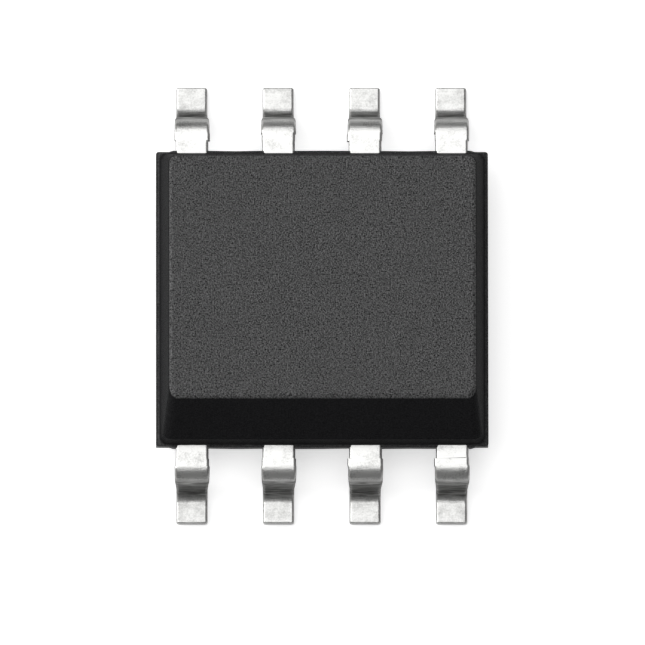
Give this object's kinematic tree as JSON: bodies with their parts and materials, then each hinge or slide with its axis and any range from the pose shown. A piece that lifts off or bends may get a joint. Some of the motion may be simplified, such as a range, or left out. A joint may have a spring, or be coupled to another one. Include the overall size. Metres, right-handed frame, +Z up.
{
  "type": "power transistor",
  "caption": "Surface-mount power MOSFET in a small moulded package with gull-wing leads along both long sides and a chamfer that marks the pin 1 side.",
  "frame": {"origin": "on the board's surface, under the middle of the body", "axes": "+Z up from the board, +X from pin 1 towards pin 4, pins 1 to 4 and the chamfer on the -Y side"},
  "size_m": [0.0048, 0.0064, 0.0016],
  "materials": {
    "moulding_compound": "matte, fine grained epoxy",
    "tinned_copper": "matte tin plating",
    "solder": "dull solder",
    "silicon": "polished chip",
    "aluminium_wire": "drawn wire",
    "gold_wire": "drawn gold wire"
  },
  "bodies": {
    "root": {"package_body": "moulding_compound", "drain_leadframe": "tinned_copper", "source_leadframe": "tinned_copper", "gate_lead": "tinned_copper", "die_attach_solder": "solder", "silicon_die": "silicon", "source_wire_1": "aluminium_wire", "source_wire_2": "aluminium_wire", "source_wire_3": "aluminium_wire", "source_wire_4": "aluminium_wire", "gate_wire": "gold_wire"}
  },
  "joints": []
}
